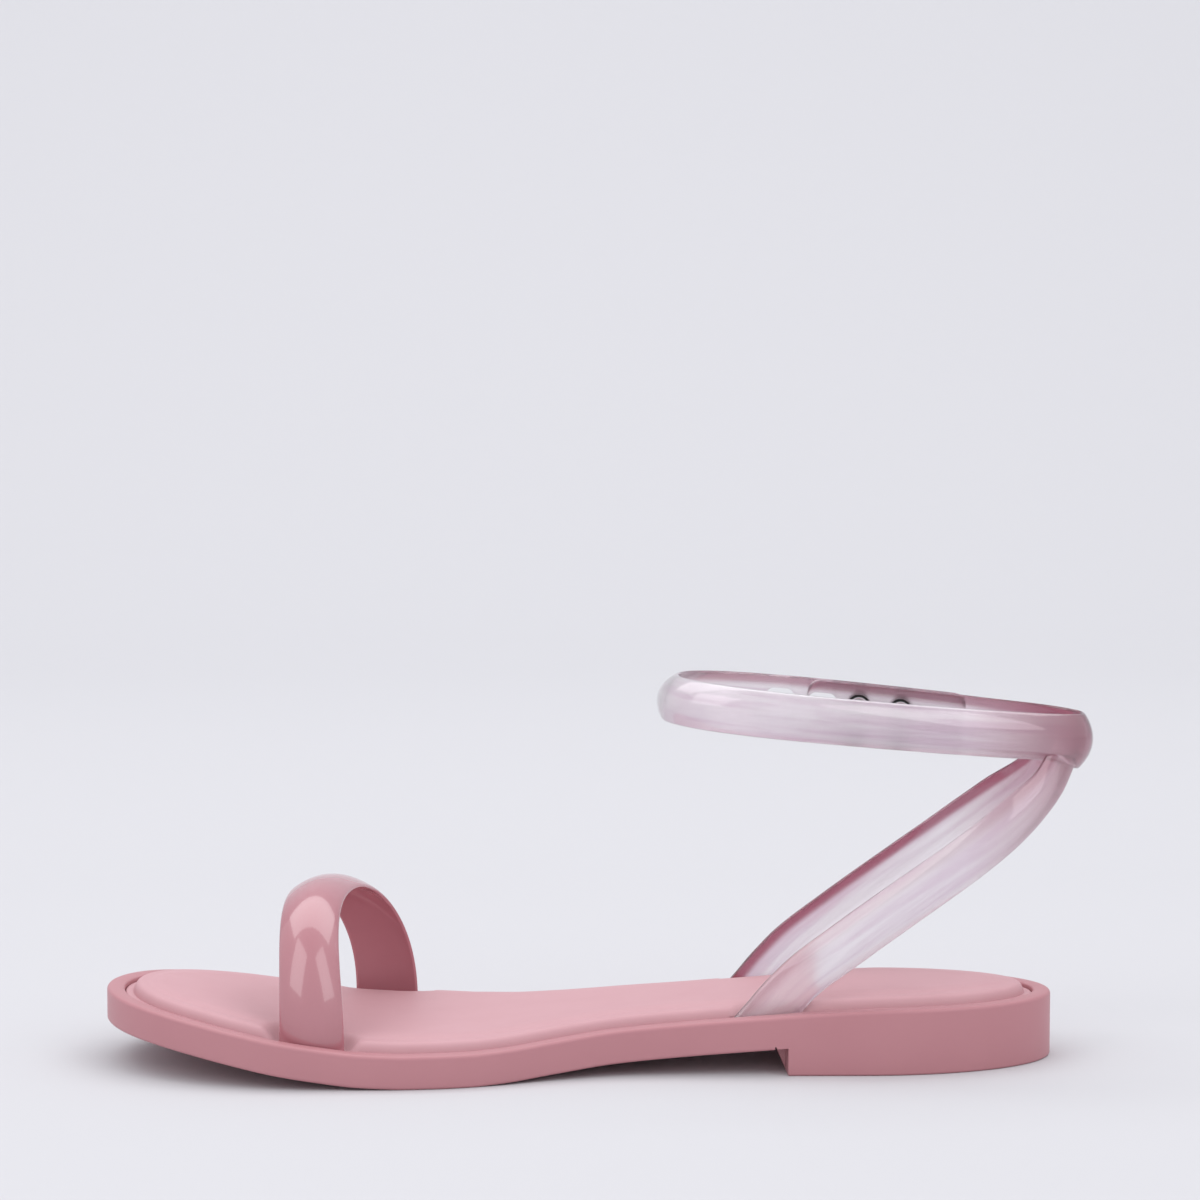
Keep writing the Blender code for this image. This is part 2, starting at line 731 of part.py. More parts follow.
def main():
    for item in list(bpy.data.objects):
        bpy.data.objects.remove(item, do_unlink=True)
    parts = bpy.data.collections.new("jelly sandal")
    cutters = bpy.data.collections.new("cutters")
    for group in (parts, cutters):
        bpy.context.scene.collection.children.link(group)

    looks = {row[0]: make_material(*row) for row in MATERIALS}
    sole = outsole(parts, looks["rose plastic"])
    footbed = insole(parts, looks["rose insole"])
    toe_strap(parts, looks["rose gloss"])
    loop = ankle_loop(parts, looks["clear lilac jelly"])

    for side, name in ((-1, "inner"), (1, "outer")):
        boolean(loop, ankle_leg(side, cutters), "UNION")
        frames = leg_frames(side)[:PLUG_STEPS]
        plug = leg_plug(f"{name} ankle pocket", frames, ANKLE_LEG_WIDTH, ANKLE_BAND_EDGE, ANKLE_FOOT_DOME,
                        cutters)
        boolean(sole, plug, "DIFFERENCE")
        boolean(footbed, plug, "DIFFERENCE")
    points, hints = toe_strap_path()
    for name, order in (("inner toe pocket", 1), ("outer toe pocket", -1)):
        frames = band_frames(points[::order], hints[::order])[:PLUG_STEPS]
        plug = leg_plug(name, frames, TOE_FOOT_WIDTH, TOE_STRAP_EDGE, TOE_STRAP_DOME, cutters)
        boolean(sole, plug, "DIFFERENCE")
        boolean(footbed, plug, "DIFFERENCE")

    table = loop_lengths()
    studs = stud_lengths(table)
    for i, length in enumerate(studs):
        closure_stud(f"closure_stud_{i + 1}", length, table, parts, looks["steel"])
        hole = 2 * (NECK_RADIUS + GAP)
        cutter = placed_cutter(f"stud hole {i + 1}", length, table, (hole, hole, CUT_REACH), cutters)
        boolean(loop, cutter, "DIFFERENCE")
    for i in range(SPARE_SLOTS):
        length = studs[0] + STUD_PITCH * (i + 1) - SLOT_SHIFT
        size = (SLOT_LENGTH, SLOT_WIDTH, CUT_REACH)
        block = placed_cutter(f"spare slot {i + 1}", length, table, size, cutters)
        boolean(loop, block, "DIFFERENCE")


main()
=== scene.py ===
import math

import bmesh
import bpy
import numpy as np
from mathutils import Matrix, Vector, kdtree


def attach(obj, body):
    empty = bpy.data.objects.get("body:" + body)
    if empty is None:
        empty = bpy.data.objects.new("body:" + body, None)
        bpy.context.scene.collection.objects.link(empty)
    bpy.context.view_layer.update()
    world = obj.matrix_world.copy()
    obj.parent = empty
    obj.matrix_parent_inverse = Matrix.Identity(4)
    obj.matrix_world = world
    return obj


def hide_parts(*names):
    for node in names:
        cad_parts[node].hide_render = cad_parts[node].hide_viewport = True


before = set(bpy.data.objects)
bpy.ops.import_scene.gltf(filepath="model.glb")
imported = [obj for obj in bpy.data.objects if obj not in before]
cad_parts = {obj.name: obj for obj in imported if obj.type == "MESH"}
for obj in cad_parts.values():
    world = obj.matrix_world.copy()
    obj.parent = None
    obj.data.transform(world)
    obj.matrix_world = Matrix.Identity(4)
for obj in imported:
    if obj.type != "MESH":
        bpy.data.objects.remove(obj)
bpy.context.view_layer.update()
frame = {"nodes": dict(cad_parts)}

# Right jelly sandal, lengths in metres. The toe points along -X, the inner side of the foot is -Y.
# The origin is on the floor under the middle of the heel block.

gap = 0.0003

# Moulded unit sole. Outline rows: along from the heel, then the middle's shift and half the width as
# shares of ballWidth
sole = {
    "length": 0.2484,
    "ballWidth": 0.086,
    "thickness": 0.0086,
    "heelLift": 0.0086,
    "heelBlock": 0.0716,
    "breastLean": 0.0024,
    "toeSpring": 0.0107,
    "heelRound": 0.0483,
    "toeRound": 0.055,
    "bottomEdge": 0.0007,
    "topEdge": 0.0010,
    "rimWidth": 0.0046,
    "rimSwell": 0.00012,
    "trayDepth": 0.003,
    "trayInset": 0.00736,
    "pocketDepth": 0.0028,
    "innerEdge": 0.0005,
    "breastInset": 0.0060,
    "breastRound": 0.15,
    "flatInset": 0.0021,
    "roundSteps": {"bottom": 4, "top": 5, "inner": 4},
    "swellAt": (0.35, 0.5, 0.65),
    "stations": 300,
    # how far the stations crowd towards both ends, and how far they are even
    "crowding": (0.7, 0.3),
    "tipPlaces": (0.0002, 0.0008, 0.9998, 0.9992),
    "slopeStep": 0.001,
    "outline": (
        (0.000, 0.000, 0.328), (0.190, 0.000, 0.328), (0.290, 0.000, 0.322), (0.375, 0.006, 0.320),
        (0.462, 0.018, 0.335), (0.530, 0.020, 0.382), (0.593, 0.021, 0.447), (0.655, 0.023, 0.489),
        (0.720, 0.026, 0.501), (0.800, 0.029, 0.498), (0.900, 0.036, 0.492), (1.000, 0.046, 0.515),
    ),
    # underside height as a share of heelLift, then as a share of toeSpring
    "heelRise": (
        (0.000, 1.000), (0.170, 0.990), (0.230, 0.925), (0.315, 0.760), (0.403, 0.560),
        (0.467, 0.395), (0.530, 0.190), (0.572, 0.065), (0.610, 0.000),
    ),
    "toeRise": (
        (0.690, 0.000), (0.735, 0.060), (0.776, 0.183), (0.820, 0.337),
        (0.863, 0.520), (0.909, 0.710), (0.955, 0.875), (1.000, 1.000),
    ),
}


def eased(rows, col, at):
    # smooth curve through one column of a table, never swinging past its rows
    xs = np.array([row[0] for row in rows])
    ys = np.array([row[col] for row in rows])
    at = min(max(at, xs[0]), xs[-1])
    steps = np.diff(xs)
    rates = np.diff(ys) / steps
    slopes = np.zeros(len(xs))
    sameWay = rates[:-1] * rates[1:] > 0
    before, after = rates[:-1][sameWay], rates[1:][sameWay]
    slopes[1:-1][sameWay] = 2 * before * after / (before + after)
    slopes[0], slopes[-1] = rates[0], rates[-1]
    i = min(int(np.searchsorted(xs, at, side="right")) - 1, len(steps) - 1)
    t = (at - xs[i]) / steps[i]
    start = (1 + 2 * t) * (1 - t) ** 2 * ys[i] + t * (1 - t) ** 2 * steps[i] * slopes[i]
    end = t * t * (3 - 2 * t) * ys[i + 1] + t * t * (t - 1) * steps[i] * slopes[i + 1]
    return float(start + end)


def faded(distance, length):
    share = min(max(distance / length, 0.0), 1.0)
    return 1 - share * share * (3 - 2 * share)


def xAt(along):
    return sole["heelBlock"] / 2 - along * sole["length"]


def alongAt(x):
    return (sole["heelBlock"] / 2 - x) / sole["length"]


def endShare(distance, roundLength):
    if distance >= roundLength:
        return 1.0
    return math.sqrt(max(0.0, 1 - (1 - distance / roundLength) ** 2))


def outlineY(x, side):
    # side -1 is the inner edge of the sole, 1 the outer edge
    along = alongAt(x)
    share = endShare(along * sole["length"], sole["heelRound"])
    share *= endShare((1 - along) * sole["length"], sole["toeRound"])
    half = eased(sole["outline"], 2, along) * share
    return sole["ballWidth"] * (eased(sole["outline"], 1, along) + side * half)


def baseHeight(x):
    along = alongAt(x)
    heel = sole["heelLift"] * eased(sole["heelRise"], 1, along)
    return heel + sole["toeSpring"] * eased(sole["toeRise"], 1, along)


def rimHeight(x):
    return baseHeight(x) + sole["thickness"]


def stationXs():
    # places from the heel's back to the toe's tip, closer together at both ends and at the breast
    breast = -sole["heelBlock"] / 2
    top = breast - sole["breastLean"]
    edge = sole["bottomEdge"]
    crowded, even = sole["crowding"]
    corners = [breast + edge, breast + edge / 2, breast, top, top - edge / 2, top - edge]
    xs = []
    for i in range(sole["stations"] + 1):
        turn = (1 - math.cos(math.pi * i / sole["stations"])) / 2
        xs.append(xAt(crowded * turn + even * i / sole["stations"]))
    xs += [xAt(along) for along in sole["tipPlaces"]]
    clear = sole["length"] / sole["stations"] / 2
    xs = [x for x in xs if not corners[-1] - clear < x < corners[0] + clear]
    return sorted(xs + corners, reverse=True)


stations = stationXs()


def undersideHeight(x):
    breast = -sole["heelBlock"] / 2
    edge = sole["bottomEdge"]
    top = breast - sole["breastLean"]
    if x >= breast + edge:
        return 0.0
    if x > top - edge / 4:
        # the breast of the heel block, rounded at both ends
        if x > breast + edge / 4:
            return sole["breastRound"] * edge
        if x > breast - edge / 4:
            return edge
        return baseHeight(x) - edge
    if x > top - 3 * edge / 4:
        return baseHeight(x) - sole["breastRound"] * edge
    return baseHeight(x)


def solePoints():
    edge = [Vector((x, outlineY(x, -1), 0)) for x in stations]
    edge += [Vector((x, outlineY(x, 1), 0)) for x in reversed(stations[1:-1])]
    return edge


soleEdge = solePoints()
edgeXs = stations + list(reversed(stations[1:-1]))


def soleNormals():
    count = len(soleEdge)
    normals = []
    for i in range(count):
        way = (soleEdge[(i + 1) % count] - soleEdge[i - 1]).normalized()
        normals.append(Vector((way.y, -way.x, 0)))
    middle = Vector((xAt(0.5), 0, 0))
    flip = 1 if (soleEdge[0] - middle).dot(normals[0]) > 0 else -1
    return [n * flip for n in normals]


edgeNormals = soleNormals()


def soleRing(inset, height, recess=0.0):
    # one ring of the outline, moved inwards, with its height read at each place
    breast = -sole["heelBlock"] / 2
    ring = []
    for point, normal, x in zip(soleEdge, edgeNormals, edgeXs):
        atBreast = breast - sole["breastLean"] - sole["bottomEdge"] < x < breast + sole["bottomEdge"] / 4
        p = point - normal * (inset + (recess if atBreast else 0.0))
        if recess and atBreast:
            p.x = point.x
        ring.append(Vector((p.x, p.y, height(p.x, x))))
    return ring


def rimNormal(x, side):
    step = sole["slopeStep"]
    slope = (outlineY(x + step, side) - outlineY(x - step, side)) / (2 * step)
    return Vector((-slope * side, side, 0)).normalized()


def placed(name, data):
    item = bpy.data.objects.new(name, data)
    bpy.context.scene.collection.objects.link(item)
    return item


def smoothed(mesh, sharp):
    mesh.shade_smooth()
    mesh.set_sharp_from_angle(angle=math.radians(sharp))


def meshPiece(name, vertices, faces, sharp=35):
    mesh = bpy.data.meshes.new(name)
    mesh.from_pydata([tuple(v) for v in vertices], [], faces)
    body = bmesh.new()
    body.from_mesh(mesh)
    bmesh.ops.recalc_face_normals(body, faces=body.faces)
    body.to_mesh(mesh)
    body.free()
    smoothed(mesh, sharp)
    return placed(name, mesh)


def meshOf(name, body):
    mesh = bpy.data.meshes.new(name)
    body.to_mesh(mesh)
    body.free()
    return mesh


def skin(rings):
    count = len(rings[0])
    vertices = [p for ring in rings for p in ring]
    faces = []
    for r in range(len(rings) - 1):
        for i in range(count):
            j = (i + 1) % count
            faces.append((r * count + i, r * count + j, (r + 1) * count + j, (r + 1) * count + i))
    return vertices, faces


def acrossStrips(start, count):
    # flat strips from the inner to the outer point of each station
    half = count // 2
    faces = [(start, start + 1, start + count - 1)]
    for i in range(1, half - 1):
        faces.append((start + i, start + i + 1, start + count - i - 1, start + count - i))
    faces.append((start + half - 1, start + half, start + half + 1))
    return faces


def quarterRound(steps):
    return [(math.sin(math.pi / 2 * k / steps), math.cos(math.pi / 2 * k / steps)) for k in range(steps + 1)]


def buildOutsole():
    low, top, inner = sole["bottomEdge"], sole["topEdge"], sole["innerEdge"]
    rim, recess, steps = sole["rimWidth"], sole["breastInset"], sole["roundSteps"]
    # inset, height, extra inset at the heel block's breast
    levels = [(sole["flatInset"], lambda x, s: undersideHeight(s), recess)]
    for out, up in quarterRound(steps["bottom"]):
        levels.append((low * (1 - out), lambda x, s, up=up: undersideHeight(s) + low * (1 - up), recess))
    levels.append((0.0, lambda x, s: max(undersideHeight(s) + low, baseHeight(s)) + low / 4, recess))
    levels.append((0.0, lambda x, s: max(undersideHeight(s) + low, baseHeight(s)) + low / 3, 0.0))
    for up, out in quarterRound(steps["top"]):
        levels.append((top * (1 - out), lambda x, s, up=up: rimHeight(x) - top * (1 - up), 0.0))
    for share in sole["swellAt"]:
        rise = sole["rimSwell"] * (1 - (2 * share - 1) ** 2)
        levels.append((rim * share, lambda x, s, rise=rise: rimHeight(x) + rise, 0.0))
    for up, out in quarterRound(steps["inner"]):
        levels.append((rim - inner + inner * up, lambda x, s, out=out: rimHeight(x) - inner * (1 - out), 0.0))
    for inset in (rim, sole["trayInset"]):
        levels.append((inset, lambda x, s: rimHeight(x) - sole["trayDepth"], 0.0))
    rings = [soleRing(*level) for level in levels]
    vertices, faces = skin(rings)
    count = len(rings[0])
    faces += acrossStrips(0, count) + acrossStrips(count * (len(rings) - 1), count)
    return meshPiece("moulded_sole", vertices, faces)


outsole = buildOutsole()
print("sole modelled")


def legFoot(x, side, dome):
    # where a strap leg meets the rim's level, just clear of the rim, and its way out
    normal = rimNormal(x, side)
    edge = Vector((x, outlineY(x, side), rimHeight(x)))
    return edge - normal * (sole["rimWidth"] + 2 * gap + dome), normal


def footDepth():
    # how far a strap leg goes down past the rim
    return sole["trayDepth"] + sole["pocketDepth"] - gap


# What the straps have in common
band = {
    "steps": 18,
    "lipPlaces": (0.2, 0.4, 0.6, 0.8),
    "lipSag": 0.35,
    "sharp": 40,
    # where across the strap its painted edge shade starts, and how far it runs
    "edgeShadeFrom": 0.48,
    "edgeShadeRun": 0.22,
    "footReach": 0.0115,
}


def bandSection(width, wall, edge, dome):
    # (across, outward) points of a domed strap, hollow inside, with round lips
    half, reach, steps = width / 2, 1 - edge / width, band["steps"]
    shares = [reach * (-1 + 2 * i / steps) for i in range(steps + 1)]
    outer = [Vector((s * half, dome * (1 - s * s))) for s in shares]
    inner = [Vector((s * half, (dome - wall + edge) * (1 - s * s) - edge)) for s in reversed(shares)]

    def lip(a, b, way):
        corner = (a + b) / 2 + Vector((way * edge, -band["lipSag"] * edge))
        return [(1 - t) ** 2 * a + 2 * t * (1 - t) * corner + t * t * b for t in band["lipPlaces"]]

    return outer + lip(outer[-1], inner[0], 1) + inner + lip(inner[-1], outer[0], -1)


def bandFrames(points, hints):
    frames = []
    for i, (point, hint) in enumerate(zip(points, hints)):
        ahead, behind = points[min(i + 1, len(points) - 1)], points[max(i - 1, 0)]
        tangent = (ahead - behind).normalized()
        normal = (hint - hint.dot(tangent) * tangent).normalized()
        frames.append((point, tangent, normal, tangent.cross(normal)))
    return frames


def edgeShares():
    # per point of a band section: 0 in the middle of the strap, -1 or 1 at its edges
    steps, lips = band["steps"], len(band["lipPlaces"])
    shares = [-1 + 2 * i / steps for i in range(steps + 1)]
    return shares + [1.0] * lips + shares[::-1] + [-1.0] * lips


marks = []  # (place, how strong the painted shade is there, share across) of the ankle strap's vertices


def paintEdgeShade(piece, way, strengths):
    # painted shade: deeper colour towards one edge of the strap, standing in for the darker edge where the
    # light runs through more of the clear plastic
    shares = edgeShares()
    for v in piece.data.vertices:
        share = shares[v.index % len(shares)]
        shadeAmount = min(1.0, max(0.0, (share * way - band["edgeShadeFrom"]) / band["edgeShadeRun"]))
        marks.append((v.co.copy(), shadeAmount * strengths[v.index // len(shares)], share))


def bandMesh(name, frames, sections):
    rings = []
    for (point, _, normal, across), section in zip(frames, sections):
        rings.append([point + u * across + v * normal for u, v in section])
    vertices, faces = skin(rings)
    count = len(rings[0])
    faces.append(tuple(range(count)))
    faces.append(tuple(range(len(vertices) - count, len(vertices))))
    return meshPiece(name, vertices, faces, band["sharp"])


footRooms = []  # (mesh, "DIFFERENCE") for each strap leg's foot, to be cut out of the insole


def addFootRoom(frames, foot, sizes, look):
    # the foot of a strap leg with a gap round it
    low = [n for n, frame in enumerate(frames) if (frame[0] - foot).length < band["footReach"]]
    wall, edge = look["wall"] + 2 * gap, look["edge"] + gap
    sections = [bandSection(sizes[n][0] + 4 * gap, wall, edge, sizes[n][1] + gap) for n in low]
    footRooms.append((bandMesh("foot_room", [frames[n] for n in low], sections), "DIFFERENCE"))


# Glossy toe strap
toeStrap = {
    "width": 0.0152,
    "footWidth": 0.0168,
    "wall": 0.0021,
    "edge": 0.0012,
    "dome": 0.0031,
    "rise": 0.0380,
    "legAt": 0.1583,
    "skew": 0.0192,
    "bow": 0.0070,
    "archPower": {"inner": 2.0, "outer": 2.16},
    "steps": 110,
}


def buildToeStrap():
    look = toeStrap
    near, nearOut = legFoot(-look["legAt"], -1, look["dome"])
    far, farOut = legFoot(-look["legAt"] + look["skew"], 1, look["dome"])
    middle = (near + far) / 2
    crest = middle.z + look["rise"] - look["dome"]
    down = Vector((0, 0, -footDepth()))
    points, hints = [near + down, near + down / 2], [nearOut, nearOut]
    for i in range(look["steps"] + 1):
        angle = math.pi * (1 - i / look["steps"])
        power = 2 / look["archPower"]["inner" if math.cos(angle) < 0 else "outer"]
        across = math.copysign(abs(math.cos(angle)) ** power, math.cos(angle))
        height = math.sin(angle) ** power if 0 < i < look["steps"] else 0.0
        foot, out = (near, nearOut) if across < 0 else (far, farOut)
        plan = middle.lerp(foot, abs(across))
        bow = look["bow"] * (1 - across * across)
        points.append(Vector((plan.x - bow, plan.y, foot.z + (crest - foot.z) * height)))
        hints.append(out * abs(across) + Vector((0, 0, height)))
    points += [far + down / 2, far + down]
    hints += [farOut, farOut]
    lowest = min(points[0].z, points[-1].z)
    sizes = []
    for point in points:
        share = faded(point.z - lowest, look["rise"])
        sizes.append((look["width"] + (look["footWidth"] - look["width"]) * share, look["dome"]))
    frames = bandFrames(points, hints)
    for foot in (near, far):
        addFootRoom(frames, foot, sizes, look)
    sections = [bandSection(width, look["wall"], look["edge"], dome) for width, dome in sizes]
    return bandMesh("toe_band", frames, sections)


toeBand = buildToeStrap()
print("toe strap modelled")


# Clear ankle strap: a loop that laps over itself on the outer side, and a leg down each side of the heel
ankleStrap = {
    "width": 0.0122,
    "wall": 0.0020,
    "edge": 0.0009,
    "dome": 0.0030,
    "back": 0.0435,
    "length": 0.1085,
    "halfWidth": 0.0190,
    "egg": 0.0045,
    "height": 0.0888,
    "slope": 0.100,
    "lean": 0.25,
    "power": 2.3,
    "tailEnd": 0.0275,
    "overlap": 0.0425,
    "endCorner": 0.0035,
    "endNarrowing": 0.8,
    "stepClear": 0.004,
    "stepRun": 0.022,
    "backDrop": 0.0026,
    "steps": 280,
    "legWidth": 0.0124,
    "footDome": 0.0012,
    "legAt": 0.0400,
    "levelRun": 0.026,
    "junctionRun": 0.0095,
    "junctionDrop": 0.0042,
    "junctionWidth": 0.0100,
    "junctionDome": 0.0015,
    "legSteps": 80,
    # painted shade along one edge of each leg, stronger on the outer leg, and along the loop towards its
    # outer side
    "paintedEdgeShade": {-1: 0.35, 1: 1.0},
    "paintedLoopShade": 0.55,
    "paintedShadeStart": 0.004,
    "paintedShadeFade": 0.020,
    "loopSpots": 1440,
    "tangentStep": 0.0008,
    "endPlaces": (0.03, 0.08, 0.16, 0.28, 0.45, 0.7),
    "turnPower": 3,
    # run from foot to loop, rise, way inwards (shares)
    "leg": (
        (0.000, 0.000, 0.000), (0.064, 0.086, -0.010), (0.128, 0.160, -0.025), (0.256, 0.275, -0.040),
        (0.385, 0.386, -0.040), (0.513, 0.493, -0.035), (0.641, 0.600, -0.015), (0.700, 0.652, 0.015),
        (0.769, 0.714, 0.110), (0.820, 0.763, 0.230), (0.872, 0.816, 0.390), (0.936, 0.893, 0.630),
        (1.000, 1.000, 1.000),
    ),
}


def loopPoint(angle):
    # the angle is 0 at the back of the heel and grows towards the outer side
    look = ankleStrap
    c, s = math.cos(angle), math.sin(angle)
    along = math.copysign(abs(c) ** (2 / look["power"]), c)
    across = math.copysign(abs(s) ** (2 / look["power"]), s)
    x = look["back"] - look["length"] / 2 * (1 - along)
    return Vector((x, across * (look["halfWidth"] - look["egg"] * along), look["height"] - look["slope"] * x))


loopAngles = [2 * math.pi * i / ankleStrap["loopSpots"] for i in range(ankleStrap["loopSpots"] + 1)]
loopSpots = [loopPoint(a) for a in loopAngles]
loopRun = [0.0]
for spotA, spotB in zip(loopSpots, loopSpots[1:]):
    loopRun.append(loopRun[-1] + (spotB - spotA).length)


def loopAngle(length):
    turns = math.floor(length / loopRun[-1])
    return turns * 2 * math.pi + float(np.interp(length - turns * loopRun[-1], loopRun, loopAngles))


def lengthAtX(x):
    # length from the back, round the outer side
    half = len(loopAngles) // 2 + 1
    return float(np.interp(-x, [-p.x for p in loopSpots[:half]], loopRun[:half]))


def loopFrame(length, inward):
    step = ankleStrap["tangentStep"]
    here, ahead, behind = (loopPoint(loopAngle(length + d)) for d in (0.0, step, -step))
    tangent = (ahead - behind).normalized()
    up = Vector((ankleStrap["slope"], 0, 1)).normalized()
    outward = tangent.cross(up).normalized()
    normal = (outward + up * ankleStrap["lean"] * max(0.0, -outward.x)).normalized()
    return here - outward * inward, tangent, normal, tangent.cross(normal)


def loopPlace(length):
    # for a piece whose Z axis goes out through the strap
    point, tangent, normal, across = loopFrame(length, 0.0)
    return Matrix.Translation(point) @ Matrix((tangent, across, normal)).transposed().to_4x4()


def buildLoop():
    look = ankleStrap
    tailEnd = lengthAtX(-look["tailEnd"])
    frontEnd = tailEnd - look["overlap"] - loopRun[-1]
    pitch = look["wall"] + gap
    frames, sections = [], []
    lengths = [tailEnd + (frontEnd - tailEnd) * i / look["steps"] for i in range(look["steps"] + 1)]
    corner = look["endCorner"]
    ends = [corner * share for share in look["endPlaces"]]
    lengths = sorted(lengths + [tailEnd - e for e in ends] + [frontEnd + e for e in ends], reverse=True)
    full = bandSection(look["width"], look["wall"], look["edge"], look["dome"])
    for length in lengths:
        inward = pitch * faded(tailEnd - length - look["overlap"] - look["stepClear"], look["stepRun"])
        frames.append(loopFrame(length, inward))
        near = min(max(min(tailEnd - length, length - frontEnd) / corner, 0.0), 1.0)
        squeeze = 1 - 2 * corner * look["endNarrowing"] * (1 - math.sqrt(1 - (1 - near) ** 2)) / look["width"]
        drop = look["backDrop"] * faded(abs(length), look["halfWidth"]) / look["width"]
        sections.append([(u * squeeze + drop * max(0.0, u + look["width"] / 2), v) for u, v in full])
    loop = bandMesh("ankle_band", frames, sections)
    # painted shade along the loop's edge, growing towards its outer side
    fades = [faded(point.y + look["paintedShadeStart"], look["paintedShadeFade"]) for point, *_ in frames]
    paintEdgeShade(loop, -1, [look["paintedLoopShade"] * (1 - fade) for fade in fades])
    return loop


def legFrames(side):
    look = ankleStrap
    foot, out = legFoot(-look["legAt"], side, look["footDome"])
    head, _, headOut, down = loopFrame(side * look["junctionRun"], 0.0)
    head += down * look["junctionDrop"]
    spots = []
    for i in range(look["legSteps"] + 1):
        at = i / look["legSteps"]
        rise, inward = eased(look["leg"], 1, at), eased(look["leg"], 2, at)
        spots.append(Vector((foot.x + (head.x - foot.x) * at, foot.y + (head.y - foot.y) * inward,
                             foot.z + (head.z - foot.z) * rise)))
    slant = spots[1] - spots[0]
    slant.y = 0
    slant *= footDepth() / slant.z
    points = [foot - slant, foot - slant / 2] + spots
    turns = [(i / look["legSteps"]) ** look["turnPower"] for i in range(look["legSteps"] + 1)]
    hints = [out, out] + [out.lerp(headOut, turn) for turn in turns]
    frames = []
    for point, tangent, normal, across in bandFrames(points, hints):
        fromFoot = (point - foot).length if point.z > foot.z else 0.0
        share = max(faded(fromFoot, look["levelRun"]), faded((point - head).length, look["levelRun"]))
        if share:
            across = across - share * across.z / tangent.z * tangent
        frames.append((point, tangent, normal, across))
    return frames, foot, head


def buildLeg(side):
    look = ankleStrap
    frames, foot, head = legFrames(side)
    sizes = []
    for point, *_ in frames:
        atHead = faded((point - head).length, look["levelRun"])
        atFoot = faded((point - foot).length if point.z > foot.z else 0.0, look["levelRun"])
        width = look["legWidth"] + (look["junctionWidth"] - look["legWidth"]) * atHead
        dome = look["dome"] + (look["junctionDome"] - look["dome"]) * atHead
        dome += (look["footDome"] - look["dome"]) * atFoot
        sizes.append((width, dome))
    addFootRoom(frames, foot, sizes, look)
    sections = [bandSection(width, look["wall"], look["edge"], dome) for width, dome in sizes]
    leg = bandMesh("leg", frames, sections)
    # painted shade along one edge of the leg
    paintEdgeShade(leg, side, [look["paintedEdgeShade"][side]] * len(frames))
    return leg


# Snap studs through both layers of the lap, and the spare slots ahead of them
closure = {
    "pitch": 0.0112,
    "first": 0.0135,
    "headRadius": 0.0031,
    "headHeight": 0.0011,
    "neckRadius": 0.0014,
    "slotLength": 0.0078,
    "slotWidth": 0.0048,
    "slotShift": 0.0014,
    "slotRound": 0.48,
    "slotSegments": 10,
    "cutHeight": 0.03,
    "spareSlots": 2,
    # turned outline, outside to inside: radius and height (shares of the head's)
    "cap": ((0.00, 0.00), (0.35, -0.04), (0.62, -0.16), (0.84, -0.40), (0.96, -0.70)),
    "brim": ((1.00, 0.10), (0.97, 0.00)),
    "seat": ((0.96, 0.00), (1.00, -0.25)),
    "socket": (
        (0.99, 0.45), (0.93, 0.12), (0.84, 0.00), (0.72, 0.06), (0.66, 0.30), (0.60, 0.34),
        (0.55, 0.10), (0.47, 0.02), (0.39, 0.14), (0.36, 0.80), (0.00, 0.84),
    ),
    "turnSteps": 48,
    "weld": 1e-6,
    "sharp": 45,
}


def slotBlock(length):
    size = (closure["slotLength"], closure["slotWidth"], closure["cutHeight"])
    body = bmesh.new()
    bmesh.ops.create_cube(body, size=1.0)
    bmesh.ops.scale(body, vec=size, verts=body.verts)
    uprights = [e for e in body.edges if abs(e.verts[0].co.z - e.verts[1].co.z) > size[2] / 2]
    bmesh.ops.bevel(body, geom=uprights, offset=size[1] * closure["slotRound"],
                    segments=closure["slotSegments"], affect="EDGES", profile=0.5)
    block = placed("slot", meshOf("slot", body))
    block.matrix_world = loopPlace(length)
    return block


def joined(base, changes, sharp):
    # base with other meshes added or cut away, as one mesh
    for other, operation in changes:
        step = base.modifiers.new(operation, "BOOLEAN")
        step.operation, step.solver, step.object = operation, "EXACT", other
    bpy.context.view_layer.update()
    mesh = bpy.data.meshes.new_from_object(base.evaluated_get(bpy.context.evaluated_depsgraph_get()))
    base.modifiers.clear()
    base.data = mesh
    for other, _ in changes:
        bpy.data.objects.remove(other, do_unlink=True)
    smoothed(mesh, sharp)
    return base


firstStud = lengthAtX(-closure["first"])
studLengths = [firstStud, firstStud - closure["pitch"]]
changes = [(buildLeg(-1), "UNION"), (buildLeg(1), "UNION")]
for n in range(closure["spareSlots"]):
    changes.append((slotBlock(firstStud + closure["pitch"] * (n + 1) - closure["slotShift"]), "DIFFERENCE"))
ankleBand = joined(buildLoop(), changes, band["sharp"])


def tintEdges(piece):
    # painted shade and the share across, taken from the nearest vertex of the parts that were joined
    near = kdtree.KDTree(len(marks))
    for n, mark in enumerate(marks):
        near.insert(mark[0], n)
    near.balance()
    found = [near.find(v.co)[1] for v in piece.data.vertices]
    for name, column in (("paintedShade", 1), ("across", 2)):
        layer = piece.data.attributes.new(name, "FLOAT", "POINT")
        layer.data.foreach_set("value", [marks[n][column] for n in found])


tintEdges(ankleBand)
print("ankle strap modelled")


# Padded insole in the sole's tray. Crown rows: run inwards from the lip, rise (shares)
insole = {
    "lipWidth": 0.0020,
    "lipRound": 0.0004,
    "lipSteps": 3,
    "lipSink": 0.0009,
    "crownHeight": 0.0037,
    "crownRun": 0.0085,
    "crownSteps": 18,
    "crowding": 1.7,
    "dipDepth": 0.0027,
    "dipSpread": 0.0030,
    "dipPower": 3,
    "pinchDepth": 0.0010,
    "pinchSpread": 0.0016,
    "pinchPower": 2,
    "deepest": 0.0012,
    "columns": 24,
    "sharp": 60,
    "crown": (
        (0.00, 0.00), (0.04, 0.34), (0.12, 0.64), (0.22, 0.78), (0.34, 0.81), (0.46, 0.83),
        (0.66, 0.93), (1.00, 1.00),
    ),
}


